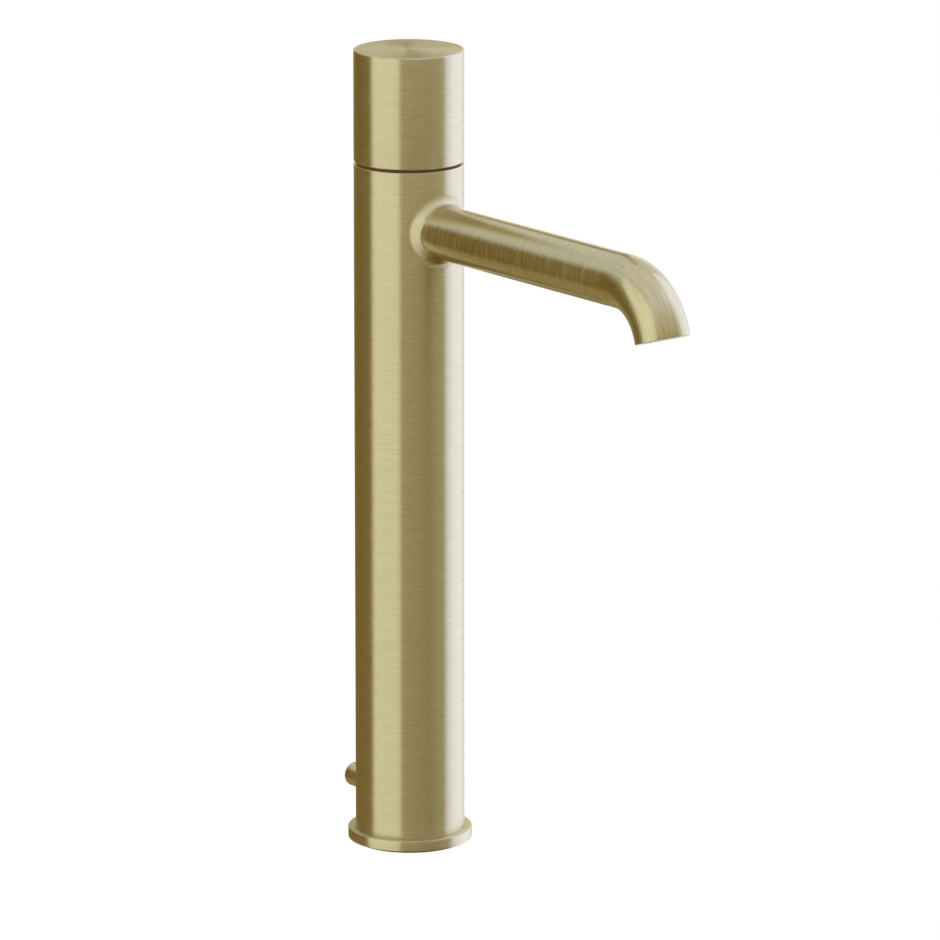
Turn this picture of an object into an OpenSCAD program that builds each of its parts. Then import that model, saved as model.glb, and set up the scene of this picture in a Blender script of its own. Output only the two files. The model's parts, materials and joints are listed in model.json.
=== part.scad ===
// Tall single-hole basin mixer with a turning top handle, a bent tube spout and a rear waste knob.
// Origin: centre of the deck hole at the deck surface. +Z up, the spout points along -Y.

/* [Column] */
// Outer diameter of the column and of the handle above it
body_d = 45; // [44:0.5:60]
// Wall thickness of the column tube
body_wall = 2.5; // [2:0.1:2.8]
// Height of the column tube above the gasket
column_h = 284; // [220:1:340]
// Edge break at the column's top
column_edge = 0.3; // [0.2:0.1:0.8]

/* [Base] */
// Thickness of the gasket under the foot
gasket_t = 1; // [0.5:0.1:2]
// Outer diameter of the gasket
gasket_d = 46.6; // [45:0.1:50]
// Opening in the middle of the gasket
gasket_bore = 36; // [30:0.5:38]
// Width of the base ring around the column
ring_w = 3.15; // [2:0.05:8]
// Height of the base ring
ring_h = 4.6; // [3:0.1:10]
// Edge break on the base ring
ring_edge = 0.4; // [0.2:0.1:0.8]
// Thickness of the foot insert in the column's lower end
foot_t = 11; // [10:0.5:12]
// Diameter of the boss around the stud hole, which reaches the deck
foot_boss_d = 14; // [11:0.5:15]
// Minor diameter of the M8 thread for the fixing stud
stud_minor_d = 6.8; // [6.6:0.05:7]
// Minor diameter of the M10x1 threads for the supply hoses
hose_minor_d = 8.92; // [8.8:0.01:9.1]
// Depth of the hose threads
hose_depth = 7; // [6:0.5:8]

/* [Supply pipes] */
// Distance of each inlet pipe from the centre plane
pipe_x = 8; // [7:0.1:8.5]
// Distance of the inlet pipes in front of the column's axis
pipe_y = 9; // [8.5:0.1:10]
// Outer diameter of the inlet pipes
pipe_d = 7; // [6.4:0.1:7.4]
// Wall thickness of the inlet pipes
pipe_wall = 0.8; // [0.5:0.1:1.2]
// Depth of the pipe sockets in the valve body
socket_depth = 8; // [6:0.5:9]
// Radial width of the pipe seals
pipe_seal_w = 1.5; // [1:0.1:1.5]
// Height of the pipe seals
pipe_seal_h = 1.8; // [1:0.1:2.2]

/* [Spout] */
// Drop of the spout's axis below the column's top
spout_drop = 25; // [22:0.5:30]
// Straight length from the column's axis to the bend
spout_straight = 142.5; // [80:0.5:200]
// Outer diameter of the spout tube
spout_d = 22; // [21:0.1:23]
// Wall thickness of the spout tube
spout_wall = 2.2; // [2.1:0.05:2.4]
// Radius of the bend's centre line
bend_r = 25; // [20:0.5:40]
// How far the spout turns down, in degrees
bend_angle = 72.2; // [45:0.1:90]
// Straight length after the bend
spout_end = 2; // [1:0.1:10]
// Radius of the blend between the spout and the column, above and below the spout
root_r = 4; // [3:0.1:5]
// Radius of that blend at the spout's two sides
root_side_r = 7.5; // [5:0.1:9]

/* [Aerator] */
// Diameter of the thread that holds the aerator
aerator_d = 18.5; // [18.2:0.1:18.6]
// Length of the aerator housing
aerator_h = 6.5; // [5:0.1:7]
// Depth of the aerator inside the outlet
aerator_recess = 0.6; // [0.3:0.1:1.5]
// Wall thickness of the aerator housing
aerator_wall = 1.3; // [1:0.1:1.6]
// Diameter of the jet holes
jet_d = 1.3; // [1:0.1:1.4]
// Spacing of the jet holes
jet_pitch = 2; // [1.9:0.1:2.4]
// Thickness of the aerator's seal
aerator_seal_t = 1.2; // [0.8:0.1:1.5]

/* [Valve] */
// Height of the valve body inside the column, below the column's top
valve_depth = 49; // [48:0.5:60]
// Height of the valve body's collar above the column's top
collar_h = 14; // [13.5:0.5:18]
// Share of the room between the cartridge and the handle's cavity that the collar's wall takes
collar_share = 0.62; // [0.4:0.01:0.75]
// Depth of the cartridge pocket below the column's top
pocket_depth = 9; // [8:0.1:9.5]
// Diameter of the cartridge
cartridge_d = 34; // [33:0.1:34.4]
// Thickness of the valve's sealing rings
oring_d = 2.2; // [1.8:0.1:2.2]
// Diameter of the water ways to the cartridge
inlet_d = 5.2; // [4:0.1:5.4]
// Width of the fixed disc's rim outside those water ways
way_rim = 0.46; // [0.3:0.01:1]
// Diameter of the water way from the cartridge
outlet_d = 7; // [5:0.1:7]
// Distance of the outlet way behind the axis
outlet_y = 6; // [5:0.1:6]

/* [Cartridge] */
// Thickness of the cartridge's base
cartridge_base_t = 3; // [2.5:0.1:4]
// Height of the cartridge's shoulder above the base
cartridge_h = 13; // [12.6:0.1:14]
// Wall thickness of the cartridge housing
cartridge_wall = 1.8; // [1.5:0.1:2]
// Diameter of the cartridge's neck
neck_d = 25; // [20:0.5:26]
// Height of the cartridge's neck
neck_h = 8; // [7.5:0.1:9]
// Thickness of the fixed ceramic disc
fixed_disc_t = 3; // [2.5:0.1:3.2]
// Thickness of the turning ceramic disc
moving_disc_t = 4.95; // [4.6:0.05:5.1]
// Diameter of the spindle
spindle_d = 8; // [7:0.1:9]
// Length of the spindle above the cartridge's neck
spindle_out = 20; // [12:0.5:24]
// Number of splines on the spindle
spline_count = 12; // [6:1:16]

/* [Handle] */
// Height of the handle
handle_h = 46; // [42:0.5:60]
// Shadow gap between the column and the handle
handle_gap = 1; // [0.9:0.1:2]
// Wall thickness of the handle's side
handle_wall = 2.5; // [2:0.1:2.8]
// Thickness of the handle's top
handle_top_t = 4; // [2:0.1:5]
// Edge break around the handle's top and bottom
handle_edge = 0.7; // [0.3:0.1:1.2]
// Thickness of the glide ring in the shadow gap
glide_t = 0.8; // [0.5:0.1:0.8]
// Setback of the glide ring from the column's surface
glide_setback = 1.2; // [0.5:0.1:1.5]
// Diameter of the grub screw
grub_d = 5; // [4:0.5:5]
// Height of the grub screw above the carrier's lower face
grub_z = 7; // [5:0.5:9]

/* [Waste knob] */
// Height of the knob's axis above the deck
knob_z = 18.6; // [18:0.1:20]
// Diameter of the knob
knob_d = 10; // [8:0.5:12]
// Distance from the column's surface to the knob's end
knob_out = 17.2; // [15:0.1:24]
// Travel of the knob
knob_travel = 10; // [6:0.5:10]
// Edge break at the knob's end
knob_edge = 0.6; // [0.3:0.1:1]
// Diameter of the knob's rod
rod_d = 4; // [3.5:0.1:4]
// Outer diameter of the rod's bush
bush_d = 7; // [6:0.1:7]
// Diameter of the bush's flange
bush_flange_d = 9; // [8:0.1:10]

/* [Waste linkage] */
// Length of each arm of the bell crank
arm_l = 10; // [10:0.1:11]
// Thickness of the bell crank
crank_t = 2; // [1.5:0.1:2]
// Distance of the bell crank from the centre plane
crank_x = 2.8; // [2.8:0.1:3]
// Distance of the pivot behind the column's axis
pivot_y = 3; // [3:0.1:3.5]
// Diameter of the pivot pin
pivot_d = 3; // [2.5:0.1:3]
// Diameter of the two drive pins
drive_pin_d = 2.4; // [2:0.1:2.4]
// Width of the metal beside each fork slot
fork_wall = 1.2; // [1:0.1:1.2]
// Distance of the lift rod from the centre plane
lift_x = 8; // [8:0.1:9]
// Diameter of the lift rod
lift_d = 5; // [4.5:0.1:5]
// Minor diameter of the M4 thread in the lift rod's lower end
lift_minor_d = 3.3; // [3.2:0.05:3.4]
// Depth of that thread
lift_thread_l = 8; // [6:0.5:10]
// Thickness of the bracket's sheet
bracket_t = 1.2; // [1:0.1:1.2]
// Diameter of the bracket screws
screw_d = 2.5; // [2:0.1:2.5]

/* [Clearances] */
// Radial gap between pieces that are pressed or screwed together
seat_gap = 0.05; // [0.02:0.01:0.1]
// Radial gap of the running fits
run_gap = 0.05; // [0.02:0.01:0.1]
// Gap beside the drive pins in their fork slots
fork_gap = 0.3; // [0.25:0.05:0.35]

/* [Hidden] */
$fn = 96;
eps = 0.5;

body_r = body_d / 2;
bore_r = body_r - body_wall;
column_z = gasket_t;
top_z = column_z + column_h;
foot_top_z = column_z + foot_t;
pipe_z = column_z + hose_depth;
pipe_r = pipe_d / 2;

spout_r = spout_d / 2;
spout_bore_r = spout_r - spout_wall;
spout_z = top_z - spout_drop;
end_step = 0.01; // the turned outlet is this much smaller than the bend, in radius
end_tail = 0.5; // length of the turned outlet inside the bend
root_steps = 8;
root_sides = 60;
root_lip = 9; // degrees of the ball's arc left off at each feather edge
root_lift = 0.018;
seat_steps = 3;

pocket_r = cartridge_d / 2 + 2 * seat_gap;
valve_r = bore_r - 2 * seat_gap;
valve_z = top_z - valve_depth;
cavity_r = body_r - handle_wall;
collar_r = pocket_r + collar_share * (cavity_r - pocket_r);
pocket_z = top_z - pocket_depth;
groove_w = oring_d + 0.4;
groove_r = bore_r - seat_gap - oring_d - seat_gap;
upper_groove_z = pocket_z - 5;
lower_groove_z = spout_z - spout_bore_r - 2 * groove_w;
waist_r = groove_r;
seal_w = 1.4;
seal_t = 1.2;

cartridge_top_z = pocket_z + cartridge_base_t + cartridge_h;
neck_top_z = cartridge_top_z + neck_h;
disc_z = pocket_z + cartridge_base_t;
disc_r = cartridge_d / 2 - cartridge_wall - 2 * seat_gap;
way_q = disc_r - way_rim - inlet_d / 2; // distance of the two inlet ways from the axis
way_x = way_q * pipe_x / norm([pipe_x, pipe_y]);
way_y = way_q * pipe_y / norm([pipe_x, pipe_y]);
way_depth = 3; // length of the inlet ways below the cartridge's pocket
moving_z = disc_z + fixed_disc_t + run_gap;
moving_r = disc_r - 0.2;
chamber_depth = 1.6;
lug_w = 3;
lug_x = 6;
lug_depth = 1.4;
spindle_r = spindle_d / 2;
flange_z = moving_z + moving_disc_t + 2 * run_gap;
flange_t = 2.2;
flange_r = 10;
spline_depth = 0.5;
spline_w = 0.9;
spline_gap = 0.1;
spindle_top_z = neck_top_z + spindle_out;

handle_z = top_z + handle_gap;
handle_top_z = handle_z + handle_h;
cavity_top_z = handle_top_z - handle_top_t;
carrier_z = neck_top_z + 2;
carrier_r = cavity_r - 2 * seat_gap;
grub_tip_y = spindle_r + 0.3;

knob_y = body_r + knob_out;
bush_flange_t = 1.4;
bush_flange_y = body_r + seat_gap;
knob_root_y = bush_flange_y + bush_flange_t + 0.3;
rod_in_knob = 10;
rod_r = rod_d / 2;
rest_shift = knob_travel / 2;
rest_angle = atan(rest_shift / arm_l);
pivot_z = knob_z + arm_l;
drive_pin_r = drive_pin_d / 2;
drive_y = pivot_y - rest_shift;
rod_end_y = drive_y - rod_r;
fork_slot = drive_pin_d + 2 * fork_gap;
fork_w = fork_slot + 2 * fork_wall;
fork_start = arm_l - drive_pin_r - fork_gap;
fork_l = arm_l / cos(rest_angle) + drive_pin_r - 0.08;
hub_r = pivot_d / 2 + 2;
upright_x = crank_x + crank_t + 1.2;
upright_t = 2;
hub_play = 0.2;
lift_y = pivot_y + arm_l;
lift_pin_z = pivot_z - rest_shift;
lift_z = column_z + 0.5;
lift_top_z = lift_pin_z + 3;
screw_x = -5.2;
screw_pitch = 5.2;
screw_l = 6;
screw_head_h = 1.6;
screw_r = screw_d / 2;

// Tube from z = 0 upwards
module ring(r_out, r_in, h) {
    difference() {
        cylinder(r = r_out, h = h);
        translate([0, 0, -eps]) cylinder(r = r_in, h = h + 2 * eps);
    }
}

// Turned piece with broken edges at its outer top and bottom
module turned(r_out, r_in, z0, z1, edge_low, edge_high) {
    rotate_extrude()
        polygon([
            [r_in, z0], [r_out - edge_low, z0], [r_out, z0 + edge_low],
            [r_out, z1 - edge_high], [r_out - edge_high, z1], [r_in, z1]
        ]);
}

// Cylinder along +Y from y0 to y1
module bar_y(r, y0, y1) {
    translate([0, y0, 0]) rotate([-90, 0, 0]) cylinder(r = r, h = y1 - y0);
}

// Cylinder along +X from x0 to x1
module bar_x(r, x0, x1) {
    translate([x0, 0, 0]) rotate([0, 90, 0]) cylinder(r = r, h = x1 - x0);
}

module at_pipes() {
    for (side = [-1, 1]) translate([side * pipe_x, -pipe_y, 0]) children();
}

// The two inlet ways of the cartridge
module at_inlets() {
    for (side = [-1, 1]) translate([side * way_x, -way_y, 0]) children();
}

// ---- base ----

module base_gasket() {
    color("dimgray") ring(gasket_d / 2, gasket_bore / 2, gasket_t);
}

module base_ring() {
    color("darkkhaki")
        turned(body_r + ring_w, body_r + seat_gap, column_z, column_z + ring_h, ring_edge, ring_edge);
}

module foot_insert() {
    color("goldenrod") difference() {
        union() {
            translate([0, 0, column_z]) cylinder(r = bore_r - seat_gap, h = foot_t);
            cylinder(r = foot_boss_d / 2, h = column_z);
        }
        translate([0, 0, -eps]) cylinder(d = stud_minor_d, h = foot_top_z + 2 * eps);
        at_pipes() {
            translate([0, 0, column_z - eps]) cylinder(d = hose_minor_d, h = hose_depth + eps);
            translate([0, 0, pipe_z]) cylinder(r = pipe_r + seat_gap, h = foot_t);
            translate([0, 0, foot_top_z - pipe_seal_h])
                cylinder(r = pipe_r + pipe_seal_w + seat_gap, h = pipe_seal_h + eps);
        }
        translate([lift_x, lift_y, 0]) cylinder(r = lift_d / 2 + run_gap, h = foot_top_z + eps);
        at_bracket_screws() translate([0, 0, foot_top_z - screw_l])
            cylinder(r = screw_r + seat_gap, h = screw_l + eps);
    }
}

// ---- column and spout ----

module body_column() {
    color("darkkhaki") difference() {
        turned(body_r, bore_r, column_z, top_z, 0.2, column_edge);
        translate([0, 0, spout_z]) bar_y(spout_bore_r, -body_r - eps, 0);
        translate([0, 0, knob_z]) bar_y(bush_d / 2 + seat_gap, 0, body_r + eps);
    }
}

// Solid bent rod along the spout's centre line
module spout_rod(r, y0, extra) {
    translate([0, 0, spout_z]) bar_y(r, -spout_straight, y0);
    translate([0, -spout_straight, spout_z - bend_r]) rotate([180, -90, 0]) {
        rotate_extrude(angle = bend_angle) translate([bend_r, 0]) circle(r = r);
        rotate(bend_angle) translate([bend_r, 0, 0]) bar_y(r - end_step, -end_tail, spout_end + extra);
    }
}

// Frame at the outlet's centre, with +Z along the water jet
module at_outlet() {
    translate([
        0,
        -spout_straight - bend_r * sin(bend_angle) - spout_end * cos(bend_angle),
        spout_z - bend_r * (1 - cos(bend_angle)) - spout_end * sin(bend_angle)
    ]) rotate([90 + bend_angle, 0, 0]) children();
}

module spout() {
    color("darkkhaki") difference() {
        spout_rod(spout_r, 0, 0);
        spout_rod(spout_bore_r, eps, eps);
        cylinder(r = body_r, h = top_z);
        at_outlet() translate([0, 0, -aerator_bore_depth()])
            cylinder(r = aerator_d / 2 + seat_gap, h = aerator_bore_depth() + eps);
    }
}

function aerator_bore_depth() = aerator_recess + aerator_h + aerator_seal_t + 0.1;

// A ball rolled round the tube's root touches the tube and the column, and swells at the sides.
// Radius and centre of the ball at angle a around the tube
function ball_r(a) = root_r + (root_side_r - root_r) * pow(cos(a), 2);
function ball_q(a) = spout_r + ball_r(a);
function ball_y(a) = -sqrt(pow(body_r + ball_r(a), 2) - pow(ball_q(a) * cos(a), 2));
function ball_centre(a) = [ball_q(a) * cos(a), ball_y(a), ball_q(a) * sin(a)];
// Directions from the ball's centre to the tube and to the column, and the angle between them
function to_tube(a) = [-cos(a), 0, -sin(a)];
function to_column(a) = -[ball_q(a) * cos(a), ball_y(a), 0] / (body_r + ball_r(a));
function ball_turn(a) = acos(to_tube(a) * to_column(a));
// Point of the blend, t degrees round the ball from the tube
function blend_point(a, t) =
    ball_centre(a)
    + ball_r(a) * (sin(ball_turn(a) - t) * to_tube(a) + sin(t) * to_column(a)) / sin(ball_turn(a));
// Point just off the column that lies behind radius q around the tube
function seat_point(a, q) =
    [q * cos(a), -sqrt(pow(body_r + root_lift, 2) - pow(q * cos(a), 2)), q * sin(a)];
function fillet_loop(a) =
    let (
        last = ball_turn(a) - root_lip,
        edge = blend_point(a, last),
        q_out = norm([edge[0], edge[2]]),
        q_in = spout_r + root_lift
    )
    concat(
        [for (i = [0:root_steps]) blend_point(a, root_lip + (last - root_lip) * i / root_steps)],
        [for (j = [0:seat_steps]) seat_point(a, q_out + (q_in - q_out) * j / seat_steps)]
    );

module spout_fillet() {
    loops = [for (s = [0:root_sides - 1]) fillet_loop(s * 360 / root_sides)];
    m = len(loops[0]);
    points = [for (loop = loops) for (p = loop) p + [0, 0, spout_z]];
    faces = [
        for (s = [0:root_sides - 1]) for (j = [0:m - 1])
            let (n = (s + 1) % root_sides, k = (j + 1) % m)
            for (f = [[s * m + j, n * m + k, n * m + j], [s * m + j, s * m + k, n * m + k]]) f
    ];
    color("darkkhaki") polyhedron(points = points, faces = faces);
}

// ---- aerator ----

module aerator_housing() {
    color("gray") at_outlet() translate([0, 0, -aerator_recess - aerator_h]) difference() {
        cylinder(d = aerator_d, h = aerator_h);
        translate([0, 0, -eps]) cylinder(r = aerator_d / 2 - aerator_wall, h = aerator_h + 2 * eps);
        for (a = [0:90:270]) rotate(a) translate([aerator_d / 2 - aerator_wall / 2, 0, aerator_h])
            cube([aerator_wall * 2, 1.6, 1.6], center = true);
    }
}

module aerator_core() {
    core_r = aerator_d / 2 - aerator_wall - seat_gap;
    core_h = aerator_h - 1;
    rows = floor((core_r - jet_d) / jet_pitch / 0.866);
    color("whitesmoke") at_outlet() translate([0, 0, -aerator_recess - aerator_h]) difference() {
        cylinder(r = core_r, h = core_h);
        for (i = [-rows:rows]) for (j = [-rows:rows])
            let (x = (i + j / 2) * jet_pitch, y = j * jet_pitch * 0.866)
            if (norm([x, y]) < core_r - jet_d)
                translate([x, y, -eps]) cylinder(d = jet_d, h = core_h + 2 * eps);
    }
}

module aerator_seal() {
    color("black") at_outlet() translate([0, 0, -aerator_recess - aerator_h - aerator_seal_t])
        ring(aerator_d / 2, aerator_d / 2 - aerator_wall - 0.8, aerator_seal_t);
}

// ---- supply pipes and valve ----

module inlet_pipe(side) {
    color("goldenrod") translate([side * pipe_x, -pipe_y, pipe_z])
        ring(pipe_r, pipe_r - pipe_wall, valve_z + socket_depth - pipe_z);
}

module inlet_pipe_cold() { inlet_pipe(1); }

module inlet_pipe_hot() { inlet_pipe(-1); }

module pipe_seals() {
    color("black") at_pipes() for (z = [foot_top_z - pipe_seal_h, valve_z])
        translate([0, 0, z]) ring(pipe_r + pipe_seal_w, pipe_r + seat_gap, pipe_seal_h);
}

module valve_body() {
    color("goldenrod") difference() {
        rotate_extrude() polygon([
            [0, valve_z], [valve_r, valve_z],
            [valve_r, lower_groove_z], [groove_r, lower_groove_z],
            [groove_r, lower_groove_z + groove_w], [valve_r, lower_groove_z + groove_w],
            [valve_r, spout_z - spout_bore_r], [waist_r, spout_z - spout_bore_r],
            [waist_r, spout_z + spout_bore_r - 1], [valve_r, spout_z + spout_bore_r - 1],
            [valve_r, upper_groove_z], [groove_r, upper_groove_z],
            [groove_r, upper_groove_z + groove_w], [valve_r, upper_groove_z + groove_w],
            [valve_r, top_z], [collar_r, top_z],
            [collar_r, top_z + collar_h], [0, top_z + collar_h]
        ]);
        translate([0, 0, pocket_z]) cylinder(r = pocket_r, h = pocket_depth + collar_h + eps);
        at_pipes() {
            translate([0, 0, valve_z - eps]) cylinder(r = pipe_r + seat_gap, h = socket_depth + eps);
            translate([0, 0, valve_z - eps])
                cylinder(r = pipe_r + pipe_seal_w + seat_gap, h = pipe_seal_h + eps);
            translate([0, 0, valve_z])
                cylinder(r = pipe_r - pipe_wall, h = pocket_z - way_depth - valve_z);
        }
        at_inlets() translate([0, 0, pocket_z - way_depth - eps])
            cylinder(d = inlet_d, h = way_depth + 2 * eps);
        translate([0, outlet_y, spout_z]) cylinder(d = outlet_d, h = pocket_z - spout_z + eps);
        translate([0, 0, spout_z]) bar_y(outlet_d / 2, -body_r, outlet_y);
        translate([0, outlet_y, spout_z]) sphere(d = outlet_d);
    }
}

module valve_seals() {
    color("black") for (z = [lower_groove_z, upper_groove_z])
        rotate_extrude() translate([groove_r + seat_gap + oring_d / 2, z + groove_w / 2])
            circle(d = oring_d);
}

// The three water ways, with children drawn for each one's radius
module at_ways() {
    at_inlets() { $way_r = inlet_d / 2; children(); }
    translate([0, outlet_y, 0]) { $way_r = outlet_d / 2; children(); }
}

module cartridge_base() {
    color("silver") translate([0, 0, pocket_z]) difference() {
        cylinder(r = cartridge_d / 2, h = cartridge_base_t);
        at_ways() {
            translate([0, 0, -eps]) cylinder(r = $way_r, h = cartridge_base_t + 2 * eps);
            translate([0, 0, -eps]) cylinder(r = $way_r + seal_w, h = seal_t + eps);
        }
    }
}

module cartridge_seals() {
    color("black") translate([0, 0, pocket_z]) at_ways()
        ring($way_r + seal_w - seat_gap, $way_r, seal_t - seat_gap);
}

module fixed_disc() {
    color("white") translate([0, 0, disc_z]) difference() {
        cylinder(r = disc_r, h = fixed_disc_t);
        at_ways() translate([0, 0, -eps]) cylinder(r = $way_r, h = fixed_disc_t + 2 * eps);
    }
}

module cartridge_housing() {
    color("silver") difference() {
        rotate_extrude() polygon([
            [0, disc_z], [cartridge_d / 2, disc_z], [cartridge_d / 2, cartridge_top_z],
            [neck_d / 2, cartridge_top_z], [neck_d / 2, neck_top_z], [0, neck_top_z]
        ]);
        translate([0, 0, disc_z - eps])
            cylinder(r = cartridge_d / 2 - cartridge_wall, h = flange_z + flange_t + 0.2 - disc_z + eps);
        translate([0, 0, disc_z]) cylinder(r = spindle_r + run_gap, h = neck_top_z - disc_z + eps);
    }
}

module cartridge_nut() {
    nut_h = top_z + collar_h - cartridge_top_z - seat_gap;
    color("goldenrod") translate([0, 0, cartridge_top_z + seat_gap]) difference() {
        ring(cartridge_d / 2 + seat_gap, neck_d / 2 + 2 * seat_gap, nut_h);
        for (a = [0:60:300]) rotate(a) translate([(cartridge_d + neck_d) / 4, 0, nut_h])
            cube([(cartridge_d - neck_d) / 4, 2.2, 4], center = true);
    }
}

module glide_ring() {
    color("black") translate([0, 0, top_z])
        ring(body_r - glide_setback, collar_r + seat_gap, glide_t);
}

// ---- handle ----

// Mixing chamber in the turning disc: round middle and one lobe that passes over the inlets
module moving_disc() {
    way_half = asin(inlet_d / 2 / way_q);
    cold_angle = 180 + atan(pipe_y / pipe_x);
    lobe_start = cold_angle + way_half - 105;
    lobe_end = cold_angle - way_half - 1;
    lobe_r = way_q + inlet_d / 2 - 0.3;
    color("white") difference() {
        translate([0, 0, moving_z]) cylinder(r = moving_r, h = moving_disc_t);
        translate([0, 0, moving_z - eps]) {
            cylinder(r = outlet_y + outlet_d / 2 - 0.2, h = chamber_depth + eps);
            rotate(lobe_start) rotate_extrude(angle = lobe_end - lobe_start)
                translate([outlet_y, 0]) square([lobe_r - outlet_y, chamber_depth + eps]);
        }
        for (side = [-1, 1]) translate([side * lug_x, 0, moving_z + moving_disc_t])
            cube([lug_w + 2 * run_gap, lug_w + 2 * run_gap, 2 * lug_depth + 0.4], center = true);
    }
}

module spline_shape(r, gap) {
    circle(r = r - spline_depth + gap);
    for (i = [0:spline_count - 1]) rotate(i * 360 / spline_count)
        translate([0, -spline_w / 2 - gap / 2]) square([r + gap, spline_w + gap]);
}

module spindle() {
    color("goldenrod") {
        translate([0, 0, flange_z]) cylinder(r = flange_r, h = flange_t);
        translate([0, 0, flange_z]) cylinder(r = spindle_r, h = neck_top_z - flange_z + 1);
        translate([0, 0, neck_top_z + 1]) linear_extrude(spindle_out - 1) spline_shape(spindle_r, 0);
        for (side = [-1, 1]) translate([side * lug_x - lug_w / 2, -lug_w / 2, flange_z - lug_depth])
            cube([lug_w, lug_w, lug_depth + flange_t / 2]);
    }
}

module handle_carrier() {
    color("gray") difference() {
        translate([0, 0, carrier_z]) cylinder(r = carrier_r, h = cavity_top_z - carrier_z);
        translate([0, 0, carrier_z - eps])
            linear_extrude(spindle_top_z - carrier_z + 1 + eps) spline_shape(spindle_r, spline_gap);
        translate([0, 0, carrier_z + grub_z]) bar_y(grub_d / 2 + seat_gap, 0, body_r);
    }
}

module handle_grub_screw() {
    color("gray") translate([0, 0, carrier_z + grub_z]) difference() {
        bar_y(grub_d / 2, grub_tip_y, carrier_r - 2);
        rotate([-90, 0, 0]) translate([0, 0, carrier_r - 4.5]) cylinder(d = grub_d / 2, h = 5, $fn = 6);
    }
}

module handle_shell() {
    color("darkkhaki") difference() {
        turned(body_r, 0, handle_z, handle_top_z, handle_edge, handle_edge);
        translate([0, 0, handle_z - eps]) cylinder(r = cavity_r, h = cavity_top_z - handle_z + eps);
        translate([0, 0, carrier_z + grub_z]) bar_y(grub_d / 2 + 0.2, 0, body_r + eps);
    }
}

// ---- waste knob and linkage ----

module knob_bush() {
    color("gray") translate([0, 0, knob_z]) difference() {
        union() {
            bar_y(bush_d / 2, bore_r - 3, bush_flange_y);
            bar_y(bush_flange_d / 2, bush_flange_y, bush_flange_y + bush_flange_t);
        }
        bar_y(rod_r + run_gap, 0, knob_y);
    }
}

module waste_knob() {
    color("darkkhaki") translate([0, knob_root_y, knob_z]) rotate([-90, 0, 0]) difference() {
        turned(knob_d / 2, 0, 0, knob_y - knob_root_y, 0.3, knob_edge);
        translate([0, 0, -eps]) cylinder(r = rod_r + seat_gap, h = rod_in_knob + eps);
    }
}

module knob_rod() {
    color("goldenrod") translate([0, 0, knob_z]) difference() {
        bar_y(rod_r, rod_end_y, knob_root_y + rod_in_knob);
        translate([0, drive_y, 0]) bar_x(drive_pin_r + seat_gap, -knob_d, knob_d);
    }
}

module knob_rod_pin() {
    color("silver") translate([0, drive_y, knob_z])
        bar_x(drive_pin_r, -rod_r, crank_x + crank_t + 0.4);
}

module at_bracket_screws() {
    for (side = [-1, 1]) translate([screw_x, pivot_y + side * screw_pitch / 2, 0]) children();
}

module crank_bracket() {
    base_w = screw_pitch + 5;
    color("silver") difference() {
        union() {
            translate([screw_x - 2.4, pivot_y - base_w / 2, foot_top_z])
                cube([upright_x + upright_t - screw_x + 2.4, base_w, bracket_t]);
            translate([upright_x, pivot_y - hub_r, foot_top_z])
                cube([upright_t, 2 * hub_r, pivot_z - foot_top_z]);
            translate([0, pivot_y, pivot_z]) bar_x(hub_r, upright_x, upright_x + upright_t);
        }
        translate([0, pivot_y, pivot_z]) bar_x(pivot_d / 2 + seat_gap, 0, upright_x + upright_t + eps);
        at_bracket_screws() translate([0, 0, foot_top_z - eps])
            cylinder(r = screw_r + 2 * seat_gap, h = bracket_t + 2 * eps);
    }
}

module bracket_screws() {
    color("silver") at_bracket_screws() difference() {
        union() {
            translate([0, 0, foot_top_z - screw_l + 0.3]) cylinder(r = screw_r, h = screw_l + bracket_t);
            translate([0, 0, foot_top_z + bracket_t]) cylinder(r = 1.7 * screw_r, h = screw_head_h);
        }
        translate([0, 0, foot_top_z + bracket_t + screw_head_h]) cube([5, 0.6, 1.4], center = true);
    }
}

module crank_pin() {
    color("silver") translate([0, pivot_y, pivot_z]) {
        bar_x(pivot_d / 2, crank_x - 2 * hub_play - 0.2, upright_x + upright_t + 0.4);
        bar_x(pivot_d / 2 + 0.9, crank_x - 2 * hub_play - 1.2, crank_x - 2 * hub_play - 0.1);
    }
}

module fork_arm() {
    difference() {
        translate([crank_x, -fork_w / 2, -fork_l]) cube([crank_t, fork_w, fork_l]);
        translate([crank_x - eps, -fork_slot / 2, -fork_l - eps])
            cube([crank_t + 2 * eps, fork_slot, fork_l + eps - fork_start]);
    }
}

module bell_crank() {
    color("goldenrod") translate([0, pivot_y, pivot_z]) rotate([-rest_angle, 0, 0]) difference() {
        union() {
            fork_arm();
            rotate([90, 0, 0]) fork_arm();
            bar_x(hub_r, crank_x - hub_play, upright_x - hub_play);
        }
        bar_x(pivot_d / 2 + run_gap, 0, upright_x);
    }
}

module lift_rod() {
    color("goldenrod") translate([lift_x, lift_y, 0]) difference() {
        translate([0, 0, lift_z]) cylinder(d = lift_d, h = lift_top_z - lift_z);
        translate([0, 0, lift_z - eps]) cylinder(d = lift_minor_d, h = lift_thread_l + eps);
        translate([0, 0, lift_pin_z]) bar_x(drive_pin_r + seat_gap, -lift_d, lift_d);
    }
}

module lift_rod_pin() {
    color("silver") translate([0, lift_y, lift_pin_z])
        bar_x(drive_pin_r, crank_x - 0.4, lift_x + lift_d / 2);
}

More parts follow.
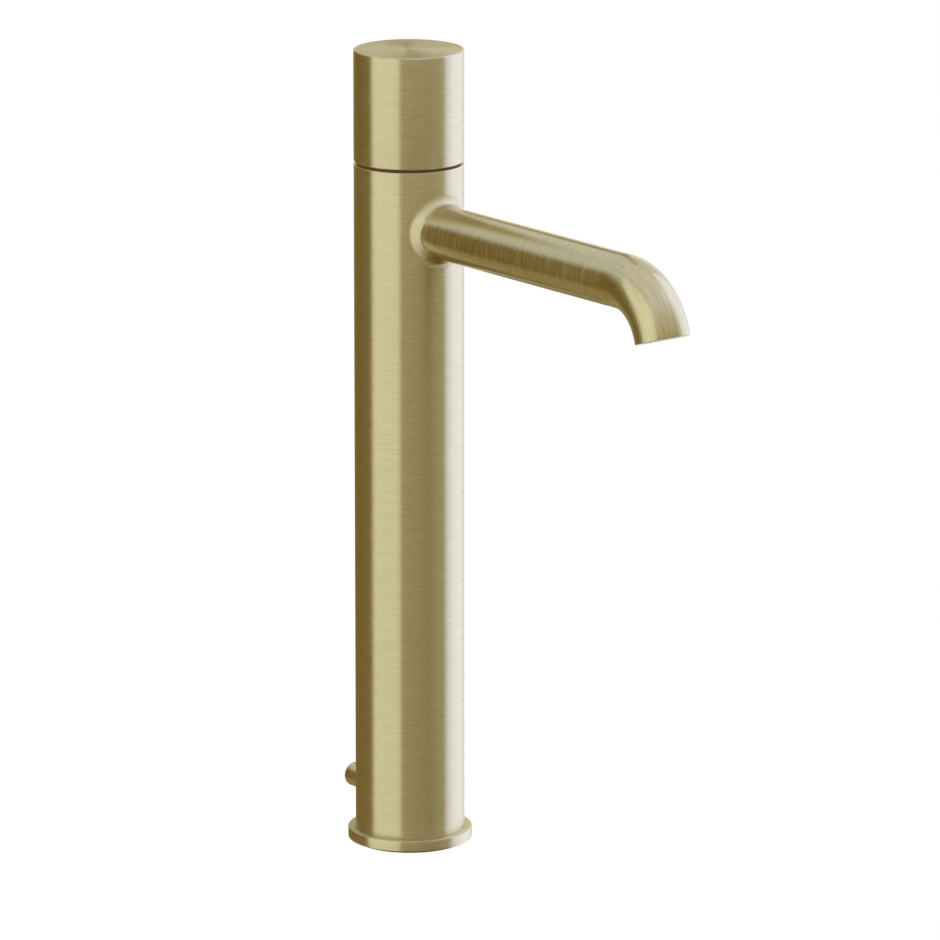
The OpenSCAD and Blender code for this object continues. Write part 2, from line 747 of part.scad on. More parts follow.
base_gasket();
base_ring();
foot_insert();
body_column();
spout();
spout_fillet();
aerator_housing();
aerator_core();
aerator_seal();
inlet_pipe_cold();
inlet_pipe_hot();
pipe_seals();
valve_body();
valve_seals();
cartridge_base();
cartridge_seals();
fixed_disc();
cartridge_housing();
cartridge_nut();
glide_ring();
moving_disc();
spindle();
handle_carrier();
handle_grub_screw();
handle_shell();
knob_bush();
waste_knob();
knob_rod();
knob_rod_pin();
crank_bracket();
bracket_screws();
crank_pin();
bell_crank();
lift_rod();
lift_rod_pin();
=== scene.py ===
import json
import math

import bmesh
import bpy
from mathutils import Matrix, Vector


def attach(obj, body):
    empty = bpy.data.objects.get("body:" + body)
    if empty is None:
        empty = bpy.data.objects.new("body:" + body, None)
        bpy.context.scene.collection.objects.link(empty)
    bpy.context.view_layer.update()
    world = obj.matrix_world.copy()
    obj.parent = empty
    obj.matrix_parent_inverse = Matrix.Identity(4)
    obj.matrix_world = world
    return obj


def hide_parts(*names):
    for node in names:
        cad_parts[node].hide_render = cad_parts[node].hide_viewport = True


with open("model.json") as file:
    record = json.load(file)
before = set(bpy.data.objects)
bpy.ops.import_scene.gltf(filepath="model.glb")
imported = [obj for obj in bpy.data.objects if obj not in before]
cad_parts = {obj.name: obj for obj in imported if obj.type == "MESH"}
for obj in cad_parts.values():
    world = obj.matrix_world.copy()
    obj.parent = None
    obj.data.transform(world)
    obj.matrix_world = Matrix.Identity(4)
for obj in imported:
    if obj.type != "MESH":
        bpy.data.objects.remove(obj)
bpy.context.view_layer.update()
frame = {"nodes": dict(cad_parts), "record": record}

mm = 0.001
bodyRadius = 22.5  # column and handle, in millimetres
drillFrom, drillTo = 10, 30  # distances from the body's axis that take a drill through one wall
bumpHeight = 0.05 * mm


def hexColour(text):
    # sRGB hex to linear
    values = [int(text[i:i + 2], 16) / 255 for i in (1, 3, 5)]
    linear = [v / 12.92 if v <= 0.04045 else ((v + 0.055) / 1.055) ** 2.4 for v in values]
    return tuple(linear) + (1.0,)


def addNode(tree, kind, settings=None, links=None):
    # settings are attributes or socket values, links are socket: (node, output)
    node = tree.nodes.new("ShaderNode" + kind)
    for key, value in (settings or {}).items():
        if isinstance(key, int) or (key in node.inputs and not hasattr(node, str(key))):
            node.inputs[key].default_value = value
        else:
            setattr(node, key, value)
    for key, (source, output) in (links or {}).items():
        tree.links.new(source.outputs[output], node.inputs[key])
    return node


def newMaterial(name):
    material = bpy.data.materials.new(name)
    material.use_nodes = True
    tree = material.node_tree
    tree.nodes.clear()
    return material, tree


def placeMesh(name, bm, material):
    mesh = bpy.data.meshes.new(name)
    bm.to_mesh(mesh)
    bm.free()
    mesh.materials.append(material)
    piece = bpy.data.objects.new(name, mesh)
    bpy.context.scene.collection.objects.link(piece)
    return piece


def finishPiece(name, bm, material, body, node, sharpAngle=35):
    sharp = math.radians(sharpAngle)
    for face in bm.faces:
        face.smooth = True
    for edge in bm.edges:
        edge.smooth = not (edge.is_manifold and edge.calc_face_angle(0.0) > sharp)
    piece = placeMesh(name, bm, material)
    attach(piece, body)
    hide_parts(node)
    return piece


def turnedShape(profile, steps=192, closed=True):
    # profile: (radius, height) in millimetres, spun round Z
    bm = bmesh.new()
    points = [bm.verts.new((r * mm, 0, z * mm)) for r, z in profile]
    edges = [bm.edges.new(pair) for pair in zip(points, points[1:])]
    if closed:
        edges.append(bm.edges.new((points[-1], points[0])))
    bmesh.ops.spin(bm, geom=points + edges, cent=(0, 0, 0), axis=(0, 0, 1), angle=math.tau,
                   steps=steps, use_merge=True, use_duplicate=False)
    bmesh.ops.remove_doubles(bm, verts=bm.verts, dist=1e-7)
    bmesh.ops.recalc_face_normals(bm, faces=bm.faces)
    return bm


def roundEdges(bm, rings, radius, segments=4):
    # rings: (radius, height) in millimetres of the edges to round
    chosen = [edge for edge in bm.edges if any(
        all(abs(v.co.z - ringZ * mm) < 1e-6 and abs(v.co.xy.length - ringR * mm) < 1e-6
            for v in edge.verts) for ringR, ringZ in rings)]
    bmesh.ops.bevel(bm, geom=chosen, offset=radius * mm, offset_type="OFFSET", affect="EDGES",
                    segments=segments, profile=0.5, material=-1, clamp_overlap=True)


def drillHole(piece, radius, start, end):
    # start and end in millimetres
    a, b = Vector(start) * mm, Vector(end) * mm
    bm = bmesh.new()
    aim = (b - a).to_track_quat("Z", "Y").to_matrix().to_4x4()
    bmesh.ops.create_cone(bm, cap_ends=True, segments=64, radius1=radius * mm,
                          radius2=radius * mm, depth=(b - a).length,
                          matrix=Matrix.Translation((a + b) / 2) @ aim)
    cutter = placeMesh("drill", bm, piece.data.materials[0])
    modifier = piece.modifiers.new("drill", "BOOLEAN")
    modifier.operation = "DIFFERENCE"
    modifier.solver = "EXACT"
    modifier.object = cutter
    with bpy.context.temp_override(object=piece, active_object=piece):
        bpy.ops.object.modifier_apply(modifier=modifier.name)
    bpy.data.objects.remove(cutter)


def brushedMetal(name, look, grooves, across):
    # grooves gives coordinates drawn out along the brush lines, across the direction over them
    material, tree = newMaterial(name)
    place = addNode(tree, "TexCoord")
    drawnOut = grooves(tree, place, look)
    fine = addNode(tree, "TexNoise", {"Scale": 1.0, "Detail": 2.0, "Roughness": 0.6},
                   {"Vector": drawnOut})
    broad = addNode(tree, "TexNoise", {"Scale": 0.45, "Detail": 2.0}, {"Vector": drawnOut})
    tone = addNode(tree, "MapRange", {1: 0.3, 2: 0.7}, {0: (fine, "Fac")})
    colour = addNode(tree, "Mix", {"data_type": "RGBA", 6: hexColour(look["grooveColour"]),
                     7: hexColour(look["colour"])}, {0: (tone, 0)})
    both = addNode(tree, "Math", {"operation": "ADD"}, {0: (fine, "Fac"), 1: (broad, "Fac")})
    rough = addNode(tree, "MapRange", {1: 0.65, 2: 1.35, 3: look["roughness"] - look["uneven"],
                    4: look["roughness"] + look["uneven"]}, {0: (both, 0)})
    bump = addNode(tree, "Bump", {"Strength": look["depth"], "Distance": bumpHeight},
                   {"Height": (fine, "Fac")})
    shader = addNode(tree, "BsdfPrincipled",
                     {"Metallic": 1.0, "Anisotropic": look["anisotropy"]},
                     {"Base Color": (colour, 2), "Roughness": (rough, 0), "Normal": (bump, 0),
                      "Tangent": across(tree, place)})
    addNode(tree, "OutputMaterial", links={"Surface": (shader, 0)})
    return material


def groovesRound(axis, centre=(0, 0, 0)):
    # squeezed along the axis, so that the streaks run round the piece
    def build(tree, place, look):
        scale = [1 / (look["streak"] * mm)] * 3
        scale["XYZ".index(axis)] = 1 / (look["pitch"] * mm)
        mapped = addNode(tree, "Mapping", links={"Vector": (place, "Object")})
        mapped.inputs["Location"].default_value = [-c * mm * s for c, s in zip(centre, scale)]
        mapped.inputs["Scale"].default_value = scale
        return mapped, 0
    return build


def acrossRound(axis, lift, centre=(0, 0, 0)):
    # along the axis on the side and radial on the end
    def build(tree, place):
        third = "XYZ".index(axis)
        start = [c * mm for c in centre]
        moved = addNode(tree, "VectorMath", {"operation": "SUBTRACT", 1: start},
                        {0: (place, "Object")})
        keep = [0.0 if i == third else 1.0 for i in range(3)]
        rise = [lift * mm if i == third else 0.0 for i in range(3)]
        leaning = addNode(tree, "VectorMath", {"operation": "MULTIPLY_ADD", 1: keep, 2: rise},
                          {0: (moved, 0)})
        return addNode(tree, "VectorMath", {"operation": "NORMALIZE"}, {0: (leaning, 0)}), 0
    return build


def plainMaterial(name, colour, metallic, roughness, ior=1.5, grain=0.4, variation=0.04):
    # one-colour stock with a grain in millimetres
    material, tree = newMaterial(name)
    place = addNode(tree, "TexCoord")
    mapped = addNode(tree, "Mapping", links={"Vector": (place, "Object")})
    mapped.inputs["Scale"].default_value = [1 / (grain * mm)] * 3
    noise = addNode(tree, "TexNoise", {"Scale": 1.0, "Detail": 2.0}, {"Vector": (mapped, 0)})
    base = hexColour(colour)
    dark = tuple(c * (1 - variation) for c in base[:3]) + (1.0,)
    tone = addNode(tree, "Mix", {"data_type": "RGBA", 6: dark, 7: base}, {0: (noise, "Fac")})
    rough = addNode(tree, "MapRange", {1: 0.3, 2: 0.7, 3: max(roughness - 0.04, 0.02),
                    4: roughness + 0.04}, {0: (noise, "Fac")})
    bump = addNode(tree, "Bump", {"Strength": 0.05, "Distance": bumpHeight},
                   {"Height": (noise, "Fac")})
    shader = addNode(tree, "BsdfPrincipled", {"Metallic": metallic},
                     {"Base Color": (tone, 2), "Roughness": (rough, 0), "Normal": (bump, 0)})
    if not metallic:
        shader.inputs["IOR"].default_value = ior
    addNode(tree, "OutputMaterial", links={"Surface": (shader, 0)})
    return material


# satin PVD brass, a pale green-gold metal; fine brush lines keep its highlights narrow along the
# lines and smear them across
# the lines are 0.1 mm apart on the real metal and drawn at 0.55 mm, so that they show
satin = {"colour": "#DAD0AA", "grooveColour": "#CDC198", "roughness": 0.33, "anisotropy": 0.88,
         "pitch": 0.55, "streak": 7.0, "depth": 0.15, "uneven": 0.05}
# the tube and the knob are drawn smoother than the turned parts
finer = dict(satin, roughness=0.22, anisotropy=0.75, grooveColour="#C5B98C", depth=0.12)

columnBrass = brushedMetal("satinBrassColumn", satin, groovesRound("Z"),
                            acrossRound("Z", bodyRadius))

stock = {
    # turned brass, yellow and bright with light tool marks
    "raw_brass": plainMaterial("turnedBrass", "#E0C079", 1.0, 0.28, grain=0.3),
    # stainless steel, grey and fairly bright
    "steel": plainMaterial("stainlessSteel", "#C8C6C0", 1.0, 0.3, grain=0.25),
    # moulded EPDM rubber, grey with a dull sheen
    "rubber": plainMaterial("mouldedRubber", "#56565A", 0.0, 0.62, ior=1.52, grain=0.5,
                            variation=0.12),
    # moulded POM, mid grey with an even matt skin
    "grey_plastic": plainMaterial("mouldedGreyPom", "#8E8F90", 0.0, 0.42, ior=1.48),
    # moulded ABS, white and slightly warm
    "white_plastic": plainMaterial("mouldedWhiteAbs", "#E4E2DC", 0.0, 0.38, ior=1.53),
    # bronze-brown glide plastic, nearly matt
    "bronze_plastic": plainMaterial("bronzeGlidePlastic", "#6A4C12", 0.0, 0.7, ior=1.4),
    # lapped alumina, white and glossy
    "ceramic": plainMaterial("lappedAlumina", "#EDEBE4", 0.0, 0.12, ior=1.76, grain=0.6,
                             variation=0.02),
    "brushed_gold": columnBrass,
}
for entry in frame["record"]["subparts"]:
    slots = frame["nodes"][entry["node"]].data.materials
    slots.clear()
    slots.append(stock[entry["material_slot"]])
print("materials ready")


def groovesTurned(tree, place, look):
    # rings on a turned end face that carry on as lines round its side
    flat = addNode(tree, "VectorMath", {"operation": "MULTIPLY", 1: (1, 1, 0)},
                   {0: (place, "Object")})
    radius = addNode(tree, "VectorMath", {"operation": "LENGTH"}, {0: (flat, 0)})
    split = addNode(tree, "SeparateXYZ", links={0: (place, "Object")})
    total = addNode(tree, "Math", {"operation": "ADD"}, {0: (radius, "Value"), 1: (split, "Z")})
    squeezed = addNode(tree, "Math", {"operation": "MULTIPLY", 1: 1 / (look["pitch"] * mm)},
                       {0: (total, 0)})
    unit = addNode(tree, "VectorMath", {"operation": "NORMALIZE"}, {0: (flat, 0)})
    perTurn = bodyRadius / look["streak"]
    spread = addNode(tree, "VectorMath", {"operation": "SCALE", "Scale": perTurn}, {0: (unit, 0)})
    part = addNode(tree, "SeparateXYZ", links={0: (spread, 0)})
    return addNode(tree, "CombineXYZ", links={0: (part, "X"), 1: (part, "Y"),
                   2: (squeezed, 0)}), 0


turnedBrass = brushedMetal("satinBrassTurned", satin, groovesTurned, acrossRound("Z", bodyRadius))

gasket = {"radius": 23.3, "bore": 18.0, "top": 1.0, "edge": 0.25}
bm = turnedShape([(gasket["bore"], 0), (gasket["radius"], 0), (gasket["radius"], gasket["top"]),
                  (gasket["bore"], gasket["top"])])
roundEdges(bm, [(gasket["radius"], 0), (gasket["radius"], gasket["top"])], gasket["edge"])
finishPiece("baseGasket", bm, stock["rubber"], "root", "base_gasket")

ring = {"radius": 25.65, "bore": 22.55, "bottom": 1.0, "top": 5.6, "edge": 0.4}
bm = turnedShape([(ring["bore"], ring["bottom"]), (ring["radius"], ring["bottom"]),
                  (ring["radius"], ring["top"]), (ring["bore"], ring["top"])], steps=256)
roundEdges(bm, [(ring["radius"], ring["bottom"]), (ring["radius"], ring["top"])], ring["edge"])
finishPiece("baseRing", bm, turnedBrass, "root", "base_ring")
print("base made")

column = {"radius": bodyRadius, "bore": 20.0, "bottom": 1.0, "top": 285.0, "edge": 0.3,
          "lowLoop": 30, "highLoop": 236,  # extra edge loops below and above the plain length
          "spoutZ": 260.0, "spoutHole": 8.8, "bushZ": 18.6, "bushHole": 3.55}
levels = [column[key] for key in ("bottom", "lowLoop", "highLoop", "top")]
outside = [(column["radius"], z) for z in levels]
inside = [(column["bore"], z) for z in reversed(levels[1:])]
bm = turnedShape([(column["bore"], column["bottom"])] + outside + inside, steps=256)
roundEdges(bm, [(column["radius"], column["top"])], column["edge"])
piece = finishPiece("columnTube", bm, columnBrass, "root", "body_column")
drillHole(piece, column["spoutHole"], (0, -drillTo, column["spoutZ"]),
          (0, -drillFrom, column["spoutZ"]))
drillHole(piece, column["bushHole"], (0, drillFrom, column["bushZ"]),
          (0, drillTo, column["bushZ"]))

glide = {"radius": 21.3, "bore": 18.95, "bottom": 285.0, "top": 285.8, "edge": 0.12}
bm = turnedShape([(glide["bore"], glide["bottom"]), (glide["radius"], glide["bottom"]),
                  (glide["radius"], glide["top"]), (glide["bore"], glide["top"])])
roundEdges(bm, [(glide["radius"], glide["bottom"]), (glide["radius"], glide["top"])],
           glide["edge"], 3)
finishPiece("glideRing", bm, stock["bronze_plastic"], "root", "glide_ring")
print("column made")

spout = {"radius": 11.0, "bore": 8.8, "axisZ": 260.0, "bendY": -142.5, "bendR": 25.0,
         "bendAngle": 72.2, "tail": 2.0, "edge": 0.25,
         "sides": 128, "straightRings": 24, "bendRings": 56, "saddleStep": 1.0,
         "linesFrom": 5.0, "linesTo": -3.0}  # where the brush lines turn, from the bend's start
bendCentre = Vector((0, spout["bendY"], spout["axisZ"] - spout["bendR"])) * mm


def bendShare(tree, place):
    # 0 on the straight tube and 1 on the bend
    split = addNode(tree, "SeparateXYZ", links={0: (place, "Object")})
    return addNode(tree, "MapRange", {1: bendCentre.y + spout["linesFrom"] * mm,
                   2: bendCentre.y + spout["linesTo"] * mm}, {0: (split, "Y")}), 0


def groovesTube(tree, place, look):
    # round the tube on the straight, lengthwise on the bend
    straight = groovesRound("Y", (0, 0, spout["axisZ"]))(tree, place, look)
    moved = addNode(tree, "VectorMath", {"operation": "SUBTRACT", 1: bendCentre},
                    {0: (place, "Object")})
    flat = addNode(tree, "VectorMath", {"operation": "MULTIPLY", 1: (0, 1, 1)}, {0: (moved, 0)})
    arc = addNode(tree, "VectorMath", {"operation": "LENGTH"}, {0: (flat, 0)})
    unit = addNode(tree, "VectorMath", {"operation": "NORMALIZE"}, {0: (flat, 0)})
    turned = addNode(tree, "SeparateXYZ", links={0: (unit, 0)})
    split = addNode(tree, "SeparateXYZ", links={0: (place, "Object")})
    perMetre = 1 / (look["pitch"] * mm)
    sideways = addNode(tree, "Math", {"operation": "MULTIPLY", 1: perMetre}, {0: (split, "X")})
    outwards = addNode(tree, "Math", {"operation": "MULTIPLY", 1: perMetre}, {0: (arc, "Value")})
    along = addNode(tree, "Math", {"operation": "MULTIPLY", 1: spout["bendR"] / look["streak"]},
                    {0: (turned, "Y")})
    bent = addNode(tree, "CombineXYZ", links={0: (sideways, 0), 1: (along, 0), 2: (outwards, 0)})
    return addNode(tree, "Mix", {"data_type": "VECTOR"},
                   {0: bendShare(tree, place), 4: straight, 5: (bent, 0)}), 1


def acrossTube(tree, place):
    moved = addNode(tree, "VectorMath", {"operation": "SUBTRACT", 1: bendCentre},
                    {0: (place, "Object")})
    flat = addNode(tree, "VectorMath", {"operation": "MULTIPLY", 1: (0, 1, 1)}, {0: (moved, 0)})
    outward = addNode(tree, "VectorMath", {"operation": "NORMALIZE"}, {0: (flat, 0)})
    forward = addNode(tree, "VectorMath", {"operation": "CROSS_PRODUCT", 1: (1, 0, 0)},
                      {0: (outward, 0)})
    facing = addNode(tree, "NewGeometry")
    roundTube = addNode(tree, "VectorMath", {"operation": "CROSS_PRODUCT"},
                        {0: (forward, 0), 1: (facing, "Normal")})
    return addNode(tree, "Mix", {"data_type": "VECTOR", 4: (0, 1, 0)},
                   {0: bendShare(tree, place), 5: (roundTube, 0)}), 1


tubeBrass = brushedMetal("satinBrassTube", finer, groovesTube, acrossTube)
turn = math.radians(spout["bendAngle"])
jet = Vector((0, -math.cos(turn), -math.sin(turn)))


def tubeSkin(radius):
    # saddle end on the column, straight, bend, straight end
    bm = bmesh.new()
    axis = Matrix.Translation((0, 0, spout["axisZ"] * mm))
    upright = axis @ Matrix.Rotation(math.pi / 2, 4, "X")
    bmesh.ops.create_circle(bm, segments=spout["sides"], radius=radius * mm, matrix=upright)
    for vert in bm.verts:
        vert.co.y = -math.sqrt((bodyRadius * mm) ** 2 - vert.co.x ** 2)
    rim = list(bm.edges)
    firstY = -(bodyRadius + spout["saddleStep"]) * mm
    for i in range(spout["straightRings"] + 1):
        made = bmesh.ops.extrude_edge_only(bm, edges=rim)["geom"]
        rim = [g for g in made if isinstance(g, bmesh.types.BMEdge)]
        for vert in {v for e in rim for v in e.verts}:
            vert.co.y = firstY + (bendCentre.y - firstY) * i / spout["straightRings"]
    made = bmesh.ops.spin(bm, geom=rim, cent=bendCentre, axis=(1, 0, 0), angle=turn,
                          steps=spout["bendRings"], use_duplicate=False)["geom_last"]
    rim = [g for g in made if isinstance(g, bmesh.types.BMEdge)]
    made = bmesh.ops.extrude_edge_only(bm, edges=rim)["geom"]
    rim = [g for g in made if isinstance(g, bmesh.types.BMEdge)]
    end = list({v for e in rim for v in e.verts})
    bmesh.ops.translate(bm, verts=end, vec=jet * spout["tail"] * mm)
    mesh = bpy.data.meshes.new("tubeSkin")
    bm.to_mesh(mesh)
    bm.free()
    return mesh


bm = bmesh.new()
bm.from_mesh(tubeSkin(spout["radius"]))
bm.from_mesh(tubeSkin(spout["bore"]))
openEdges = [e for e in bm.edges if e.is_boundary]
nearColumn = [e for e in openEdges if all(v.co.y > -0.03 for v in e.verts)]
bmesh.ops.bridge_loops(bm, edges=nearColumn)
bmesh.ops.bridge_loops(bm, edges=[e for e in openEdges if e not in nearColumn])
bmesh.ops.recalc_face_normals(bm, faces=bm.faces)
outlet = bendCentre + Vector((0, -math.sin(turn), math.cos(turn))) * spout["bendR"] * mm
outlet += jet * spout["tail"] * mm
rim = [e for e in bm.edges if all(abs((v.co - outlet).dot(jet)) < 1e-6 and
       abs((v.co - outlet).length - spout["radius"] * mm) < 1e-5 for v in e.verts)]
bmesh.ops.bevel(bm, geom=rim, offset=spout["edge"] * mm, offset_type="OFFSET", affect="EDGES",
                segments=3, profile=0.5, material=-1)
finishPiece("spoutTube", bm, tubeBrass, "root", "spout")

blend = {"tubeR": 11.0, "axisZ": 260.0, "topR": 4.0, "sideR": 7.5, "lift": 0.02,
         "around": 180, "across": 14, "under": 6}


def fanned(tree, place):
    moved = addNode(tree, "VectorMath", {"operation": "SUBTRACT", 1: (0, 0, blend["axisZ"] * mm)},
                    {0: (place, "Object")})
    return addNode(tree, "VectorMath", {"operation": "MULTIPLY", 1: (1, 0, 1)}, {0: (moved, 0)})


def groovesFanned(tree, place, look):
    # dressed by hand outwards from the tube
    unit = addNode(tree, "VectorMath", {"operation": "NORMALIZE"}, {0: (fanned(tree, place), 0)})
    return addNode(tree, "VectorMath", {"operation": "SCALE",
                   "Scale": blend["tubeR"] / look["pitch"]}, {0: (unit, 0)}), 0


def acrossFanned(tree, place):
    return addNode(tree, "VectorMath", {"operation": "CROSS_PRODUCT", 1: (0, 1, 0)},
                   {0: (fanned(tree, place), 0)}), 0


blendBrass = brushedMetal("satinBrassBlend", satin, groovesFanned, acrossFanned)
bm = bmesh.new()
loopSteps = blend["across"] + blend["under"]
bmesh.ops.create_grid(bm, x_segments=blend["around"], y_segments=loopSteps, size=0.5)
for vert in bm.verts:
    # a ball rolled round the root touches tube and column; it swells at the two sides
    a = (vert.co.x + 0.5) * math.tau
    step = (vert.co.y + 0.5) * loopSteps
    ball = blend["topR"] + (blend["sideR"] - blend["topR"]) * math.cos(a) ** 2
    reach = blend["tubeR"] + ball
    ballY = -math.sqrt((bodyRadius + ball) ** 2 - (reach * math.cos(a)) ** 2)
    centre = Vector((reach * math.cos(a), ballY, reach * math.sin(a)))
    toTube = Vector((-math.cos(a), 0, -math.sin(a)))
    toColumn = -Vector((centre.x, ballY, 0)) / (bodyRadius + ball)
    point = centre + ball * toTube.slerp(toColumn, min(step / blend["across"], 1.0))
    if step > blend["across"]:  # back under the skin, just off the column
        low = blend["tubeR"] + blend["lift"]
        high = math.hypot(point.x, point.z)
        q = high + (low - high) * (step - blend["across"]) / blend["under"]
        if step < loopSteps:
            seat = (bodyRadius + blend["lift"]) ** 2 - (q * math.cos(a)) ** 2
            point = Vector((q * math.cos(a), -math.sqrt(seat), q * math.sin(a)))
        else:
            point = centre + ball * toTube
    vert.co = (point + Vector((0, 0, blend["axisZ"]))) * mm
bmesh.ops.remove_doubles(bm, verts=bm.verts, dist=1e-7)
bmesh.ops.recalc_face_normals(bm, faces=bm.faces)
finishPiece("rootBlend", bm, blendBrass, "root", "spout_fillet", sharpAngle=60)
print("spout made")

handle = {"radius": bodyRadius, "bottom": 286.0, "top": 332.0, "edge": 0.7, "cavity": 20.0,
          "cavityTop": 328.0, "topLoop": 12,  # extra edge loop on the top
          "screwZ": 309.0, "screwHole": 2.7}
bm = turnedShape([(0, handle["cavityTop"]), (handle["cavity"], handle["cavityTop"]),
                  (handle["cavity"], handle["bottom"]), (handle["radius"], handle["bottom"]),
                  (handle["radius"], handle["top"]), (handle["topLoop"], handle["top"]),
                  (0, handle["top"])],
                 steps=256, closed=False)
roundEdges(bm, [(handle["radius"], handle["bottom"]), (handle["radius"], handle["top"])],
           handle["edge"], 6)
piece = finishPiece("handleShell", bm, turnedBrass, "handle", "handle_shell")
drillHole(piece, handle["screwHole"], (0, drillFrom, handle["screwZ"]),
          (0, drillTo, handle["screwZ"]))
print("handle made")

knob = {"radius": 5.0, "z": 18.6, "start": 24.25, "end": 39.7, "edge": 0.6, "innerEdge": 0.3,
        "socket": 2.05, "socketDepth": 10.0}
knobBrass = brushedMetal("satinBrassKnob", finer, groovesRound("Y", (0, 0, knob["z"])),
                         acrossRound("Y", knob["radius"], (0, 0, knob["z"])))
toRear = Matrix.Translation((0, 0, knob["z"] * mm)) @ Matrix.Rotation(-math.pi / 2, 4, "X")
bm = turnedShape([(knob["socket"], knob["start"]), (knob["radius"], knob["start"]),
                  (knob["radius"], knob["end"]), (0, knob["end"]),
                  (0, knob["start"] + knob["socketDepth"]),
                  (knob["socket"], knob["start"] + knob["socketDepth"])], steps=96)
roundEdges(bm, [(knob["radius"], knob["end"])], knob["edge"], 5)
roundEdges(bm, [(knob["radius"], knob["start"])], knob["innerEdge"], 3)
bmesh.ops.transform(bm, matrix=toRear, verts=bm.verts)
finishPiece("wasteKnob", bm, knobBrass, "pull_knob", "waste_knob")

bush = {"radius": 3.5, "flange": 4.5, "bore": 2.05, "start": 17.0, "flangeY": 22.55, "end": 23.95,
        "edge": 0.2}
bm = turnedShape([(bush["bore"], bush["start"]), (bush["radius"], bush["start"]),
                  (bush["radius"], bush["flangeY"]), (bush["flange"], bush["flangeY"]),
                  (bush["flange"], bush["end"]), (bush["bore"], bush["end"])], steps=96)
roundEdges(bm, [(bush["flange"], bush["end"])], bush["edge"], 3)
bmesh.ops.transform(bm, matrix=toRear, verts=bm.verts)
finishPiece("knobBush", bm, stock["bronze_plastic"], "root", "knob_bush")
print("knob made")

view = {"distance": 3000.0, "height": 875.1, "side": 53.674, "yaw": 0.4735, "pitch": 13.468,
        "lens": 288.1, "sensor": 36, "clipEnd": 50}
side = math.radians(view["side"])
camera = bpy.data.objects.new("camera", bpy.data.cameras.new("camera"))
bpy.context.scene.collection.objects.link(camera)
camera.location = Vector((-view["distance"] * math.cos(side), -view["distance"] * math.sin(side),
                          view["height"])) * mm
camera.rotation_euler = (math.radians(90 - view["pitch"]), 0,
                         math.radians(view["side"] - view["yaw"] - 90))
camera.data.lens = view["lens"]
camera.data.sensor_width = view["sensor"]
camera.data.clip_end = view["clipEnd"]
bpy.context.scene.camera = camera

# boards round the object: start and end in degrees from the camera's side, right is positive, the
# strength, and colours by elevation in degrees
lowTone, warmTone, highTone, coolWhite = "#8B7C50", "#BDB498", "#E2E4F2", "#D6DDFF"
boards = {
    "backLeft": (-178, -150, 1.0, (
        (-28, "#A6956F"), (-20, "#816E38"), (-8, "#816E38"), (4, "#C4B684"), (30, "#E2E5EC"))),
    "darkBoard": (-150, -84.5, 1.0, (
        (-28, "#A6956F"), (-20, "#816E38"), (18, "#816E38"), (30, "#DDE1E8"))),
    "softPanel": (-84.5, -19.5, 1.07, (
        (-46, lowTone), (-34, "#F9FCF3"), (34, "#F9FCF3"), (50, "#D2D6DC"))),
    "greyLeft": (-19.5, 8, 1.06, (
        (-46, lowTone), (-34, "#ABA489"), (-10, "#ABA489"), (12, warmTone), (50, highTone))),
    "greyMiddle": (8, 30, 1.06, (
        (-46, lowTone), (-34, "#A0997D"), (-14, "#A0997D"), (12, warmTone), (50, highTone))),
    "greyFront": (30, 54, 1.06, (
        (-46, lowTone), (-34, "#948E73"), (-14, "#948E73"), (12, warmTone), (50, highTone))),
    "greyRight": (54, 82, 1.06, (
        (-46, lowTone), (-34, "#AAA388"), (-14, "#AAA388"), (12, warmTone), (50, highTone))),
    "coolEdge": (82, 96, 1.5, (
        (-46, lowTone), (-34, coolWhite), (46, coolWhite), (60, "#BCBEC2"))),
    "coolPanel": (96, 144, 1.85, (
        (-46, "#6E6340"), (-34, coolWhite), (46, coolWhite), (60, "#A0A2A6"))),
    "paleBoard": (144, 175, 1.05, (
        (-46, lowTone), (-34, "#F7F7FF"), (26, "#F7F7FF"), (42, "#D5D8DB"))),
    "backBoard": (175, 182, 1.0, (
        (-16, "#D8D2C4"), (0, "#F0E8BC"), (10, "#F0E8BC"), (20, "#988B60"))),
}
room = {"radius": 2.2, "bottom": -3.0, "top": 4.0, "eye": 0.16, "steps": 24, "world": 1.0,
        "fill": 0.8}


def hangBoard(name, bm, material):
    # seen in reflections only
    board = placeMesh(name, bm, material)
    board.visible_camera = False
    board.visible_diffuse = False
    board.visible_shadow = False


for name, (start, end, strength, tiers) in boards.items():
    material, tree = newMaterial(name)
    place = addNode(tree, "TexCoord")
    split = addNode(tree, "SeparateXYZ", links={0: (place, "Object")})
    rise = addNode(tree, "MapRange", {1: room["bottom"], 2: room["top"]}, {0: (split, "Z")})
    ramp = addNode(tree, "ValToRGB", links={0: (rise, 0)})
    stops = ramp.color_ramp.elements
    for number, (elevation, colour) in enumerate(tiers):
        height = room["eye"] + room["radius"] * math.tan(math.radians(elevation))
        share = (height - room["bottom"]) / (room["top"] - room["bottom"])
        stop = stops[number] if number < 2 else stops.new(share)
        stop.position = share
        stop.color = hexColour(colour)
    glow = addNode(tree, "Emission", {"Strength": strength}, {"Color": (ramp, 0)})
    addNode(tree, "OutputMaterial", links={"Surface": (glow, 0)})
    bm = bmesh.new()
    post = [bm.verts.new((room["radius"], 0, room[key])) for key in ("bottom", "top")]
    edge = bm.edges.new(post)
    heading = math.atan2(camera.location.y, camera.location.x) + math.radians(start)
    bmesh.ops.rotate(bm, verts=post, matrix=Matrix.Rotation(heading, 3, "Z"))
    bmesh.ops.spin(bm, geom=post + [edge], cent=(0, 0, 0), axis=(0, 0, 1),
                   angle=math.radians(end - start), steps=room["steps"])
    hangBoard(name, bm, material)

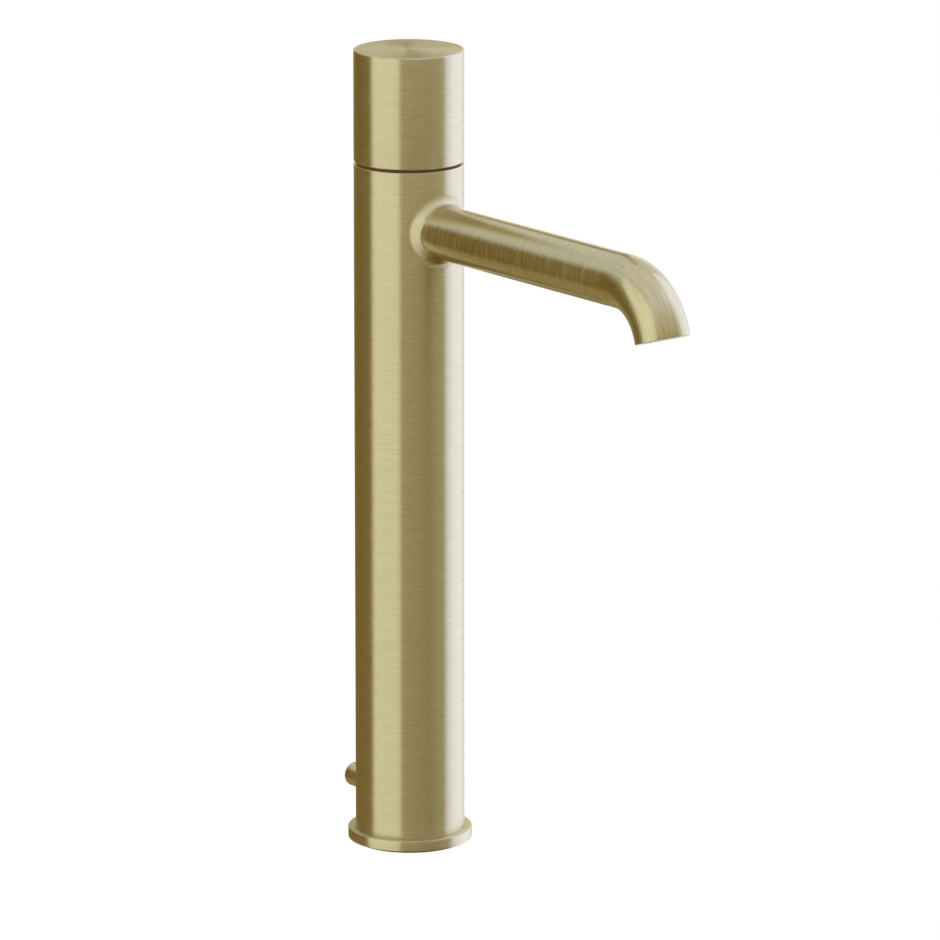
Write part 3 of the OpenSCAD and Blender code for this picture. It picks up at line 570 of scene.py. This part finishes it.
# level discs that close the room
discs = {"ceiling": (room["top"], "#ECEAF2"), "ground": (room["bottom"], "#6B5526")}
for name, (height, colour) in discs.items():
    material, tree = newMaterial(name)
    glow = addNode(tree, "Emission", {"Color": hexColour(colour), "Strength": 1.0})
    addNode(tree, "OutputMaterial", links={"Surface": (glow, 0)})
    bm = bmesh.new()
    bmesh.ops.create_circle(bm, cap_ends=True, segments=64, radius=room["radius"],
                            matrix=Matrix.Translation((0, 0, height)))
    hangBoard(name, bm, material)

world = bpy.data.worlds.new("studio")
bpy.context.scene.world = world
world.use_nodes = True
tree = world.node_tree
tree.nodes.clear()
path = addNode(tree, "LightPath")
seen = addNode(tree, "Math", {"operation": "MAXIMUM"},
               {0: (path, "Is Camera Ray"), 1: (path, "Is Glossy Ray")})
seen = addNode(tree, "Math", {"operation": "MAXIMUM"},
               {0: (seen, 0), 1: (path, "Is Transmission Ray")})
strength = addNode(tree, "MapRange", {3: room["fill"], 4: room["world"]}, {0: (seen, 0)})
glow = addNode(tree, "Background", {"Color": (1, 1, 1, 1)}, {"Strength": (strength, 0)})
addNode(tree, "OutputWorld", links={"Surface": (glow, 0)})

# the floor glows white for the camera and only keeps the object's shadow
pale = {"radius": 1.6, "drop": 0.1, "colour": (0.9, 0.9, 0.9, 1), "glow": 1.02, "share": 0.97}
material, tree = newMaterial("paleFloor")
path = addNode(tree, "LightPath")
matt = addNode(tree, "BsdfDiffuse", {"Color": pale["colour"]})
white = addNode(tree, "Emission", {"Color": (1, 1, 1, 1), "Strength": pale["glow"]})
share = addNode(tree, "Math", {"operation": "MULTIPLY", 1: pale["share"]},
                {0: (path, "Is Camera Ray")})
mixed = addNode(tree, "MixShader", {}, {0: (share, 0), 1: (matt, 0), 2: (white, 0)})
addNode(tree, "OutputMaterial", links={"Surface": (mixed, 0)})
bm = bmesh.new()
bmesh.ops.create_circle(bm, cap_ends=True, segments=96, radius=pale["radius"],
                        matrix=Matrix.Translation((0, 0, -pale["drop"] * mm)))
floor = placeMesh("floor", bm, material)
floor.visible_glossy = False

light = {"size": 0.8, "energy": 6, "place": (-1.1, -0.2, 1.6), "aim": (0, 0, 0.2)}
lamp = bpy.data.objects.new("keyLamp", bpy.data.lights.new("keyLamp", "AREA"))
lamp.data.size = light["size"]
lamp.data.energy = light["energy"]
lamp.location = light["place"]
lamp.rotation_euler = (Vector(light["aim"]) - lamp.location).to_track_quat("-Z", "Y").to_euler()
lamp.visible_camera = False
lamp.visible_glossy = False
bpy.context.scene.collection.objects.link(lamp)
bpy.context.scene.view_settings.view_transform = "Standard"
print("studio made")
